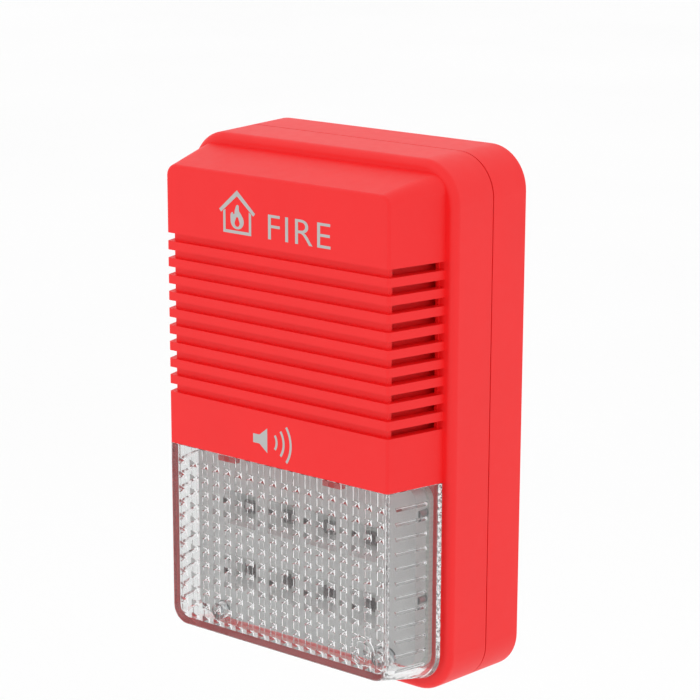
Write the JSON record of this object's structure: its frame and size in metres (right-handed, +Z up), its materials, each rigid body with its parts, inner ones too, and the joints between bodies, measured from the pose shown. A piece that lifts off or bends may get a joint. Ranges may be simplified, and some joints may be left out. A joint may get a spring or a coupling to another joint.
{
  "type": "horn strobe",
  "caption": "Wall-mounted fire alarm horn strobe: red louvred sounder head with a clear prismatic strobe lens on a plug-in wiring base.",
  "frame": {"origin": "centre of the rear mounting face, on the wall plane", "axes": "+Z up along the long side, +X to the right of a person facing the front, front faces -Y, +Y into the wall"},
  "size_m": [0.09, 0.045, 0.14],
  "materials": {
    "red_abs": "satin moulded ABS",
    "clear_polycarbonate": "clear moulded polycarbonate",
    "grey_reflector": "light grey moulded plastic",
    "lamp_board_resist": "white solder resist",
    "lamp_red": "dark red tinted epoxy",
    "zinc_plate": "zinc plated",
    "black_abs": "moulded",
    "brass": "rolled",
    "silvered_ceramic": "silvered",
    "black_rubber": "moulded",
    "red_pvc": "extruded",
    "black_pvc": "extruded",
    "green_board": "green solder resist on glass laminate",
    "chip_epoxy": "moulded epoxy",
    "chip_ceramic": "fired ceramic with tinned ends",
    "can_sleeve": "shrunk sleeve on an aluminium can",
    "ferrite": "ground ferrite",
    "copper_wire": "enamelled copper wire",
    "grey_polyamide": "moulded",
    "switch_blue": "moulded",
    "white_acetal": "moulded"
  },
  "bodies": {
    "base": {"mounting_base": "red_abs", "terminal_block": "grey_polyamide", "contact_springs": "brass", "clamp_plates": "zinc_plate", "terminal_screws": "zinc_plate"},
    "head": {"front_cover": "red_abs", "strobe_lens": "clear_polycarbonate", "reflector": "grey_reflector", "lamp_board": "lamp_board_resist", "strobe_leds": "lamp_red", "lamp_board_screws": "zinc_plate", "lens_screws": "zinc_plate", "sound_chamber": "black_abs", "chamber_screws": "zinc_plate", "piezo_disc": "brass", "piezo_ceramic": "silvered_ceramic", "piezo_ring": "black_rubber", "piezo_lead_red": "red_pvc", "piezo_lead_black": "black_pvc", "main_board": "green_board", "board_screws": "zinc_plate", "controller_chip": "chip_epoxy", "chip_resistors": "chip_epoxy", "chip_capacitors": "chip_ceramic", "power_transistors": "chip_epoxy", "supply_diodes": "chip_epoxy", "electrolytic_capacitors": "can_sleeve", "inductor_core": "ferrite", "inductor_coil": "copper_wire", "lamp_header": "black_abs", "lamp_header_pins": "brass", "tone_switch_body": "switch_blue", "contact_blades": "brass", "back_plate": "black_abs", "back_plate_screws": "zinc_plate", "locking_screw": "zinc_plate"},
    "lever_1": {"tone_lever_1": "white_acetal"},
    "lever_2": {"tone_lever_2": "white_acetal"},
    "lever_3": {"tone_lever_3": "white_acetal"},
    "lever_4": {"tone_lever_4": "white_acetal"}
  },
  "joints": [
    {"name": "head_pull_off", "type": "slide", "parent": "base", "child": "head", "axis": [0, -1, 0], "range_m": [0, 0.06]},
    {"name": "tone_lever_1_slide", "type": "slide", "parent": "head", "child": "lever_1", "axis": [0, 0, 1], "range_m": [0, 0.0018]},
    {"name": "tone_lever_2_slide", "type": "slide", "parent": "head", "child": "lever_2", "axis": [0, 0, 1], "range_m": [0, 0.0018]},
    {"name": "tone_lever_3_slide", "type": "slide", "parent": "head", "child": "lever_3", "axis": [0, 0, 1], "range_m": [0, 0.0018]},
    {"name": "tone_lever_4_slide", "type": "slide", "parent": "head", "child": "lever_4", "axis": [0, 0, 1], "range_m": [0, 0.0018]}
  ]
}
